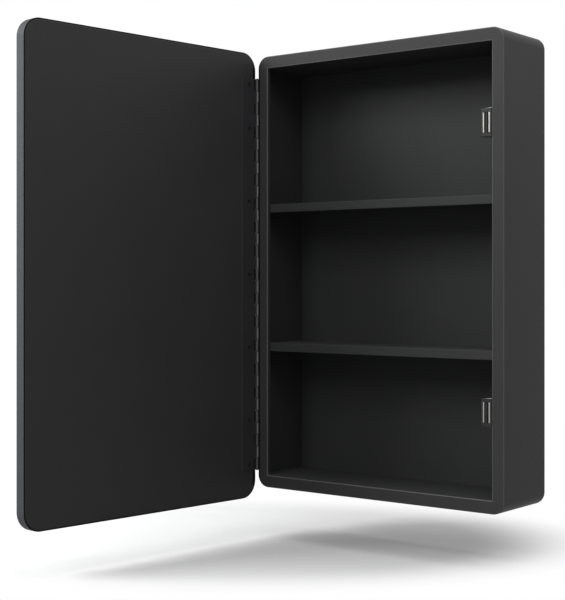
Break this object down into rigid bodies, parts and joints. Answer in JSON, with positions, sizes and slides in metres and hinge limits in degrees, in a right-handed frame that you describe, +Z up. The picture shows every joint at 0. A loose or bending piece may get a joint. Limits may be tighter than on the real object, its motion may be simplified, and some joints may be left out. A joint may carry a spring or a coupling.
{
  "type": "mirrored medicine cabinet",
  "caption": "Wall-hung steel medicine cabinet with fixed shelves and a mirrored door on a continuous side hinge, held shut by magnetic catches.",
  "frame": {"origin": "centre of the wall cleat's screw line, on the wall plane, at mid-width of the cabinet", "axes": "+X to the right as one faces the cabinet, +Y into the wall, +Z up"},
  "size_m": [0.5153, 0.5691, 0.7137],
  "materials": {
    "body_paint": "satin black enamel on folded steel",
    "hinge_paint": "black enamel over rolled steel",
    "zinc_steel": "bright zinc plate",
    "pole_steel": "plain ground steel",
    "catch_plastic": "moulded, fine texture",
    "ferrite": "sintered ferrite",
    "edge_metal": "gun-metal anodised, satin",
    "paper_core": "paper honeycomb between faces",
    "hardboard": "smooth hardboard",
    "mirror": "silvered float glass"
  },
  "bodies": {
    "cabinet": {"cabinet_shell": "body_paint", "back_panel": "body_paint", "ceiling_pan": "body_paint", "floor_pan": "body_paint", "shelf_upper": "body_paint", "shelf_lower": "body_paint", "hanging_rail": "zinc_steel", "wall_cleat": "zinc_steel", "catch_screws": "zinc_steel", "hinge_leaf_cabinet": "hinge_paint", "hinge_pin": "hinge_paint", "catch_bracket_upper": "body_paint", "catch_housing_upper": "catch_plastic", "catch_poles_upper": "pole_steel", "catch_magnet_upper": "ferrite", "catch_bracket_lower": "body_paint", "catch_housing_lower": "catch_plastic", "catch_poles_lower": "pole_steel", "catch_magnet_lower": "ferrite"},
    "door": {"hinge_leaf_door": "hinge_paint", "door_screws": "hinge_paint", "door_edge_frame": "edge_metal", "door_pan": "body_paint", "hinge_backing_strip": "zinc_steel", "door_core": "paper_core", "mirror_board": "hardboard", "mirror_glass": "mirror"}
  },
  "joints": [
    {"name": "door_hinge", "type": "hinge", "parent": "cabinet", "child": "door", "pos_m": [-0.2262, -0.1226, -0.274], "axis": [0, 0, -1], "range_deg": [-95.7, 84.3]}
  ]
}
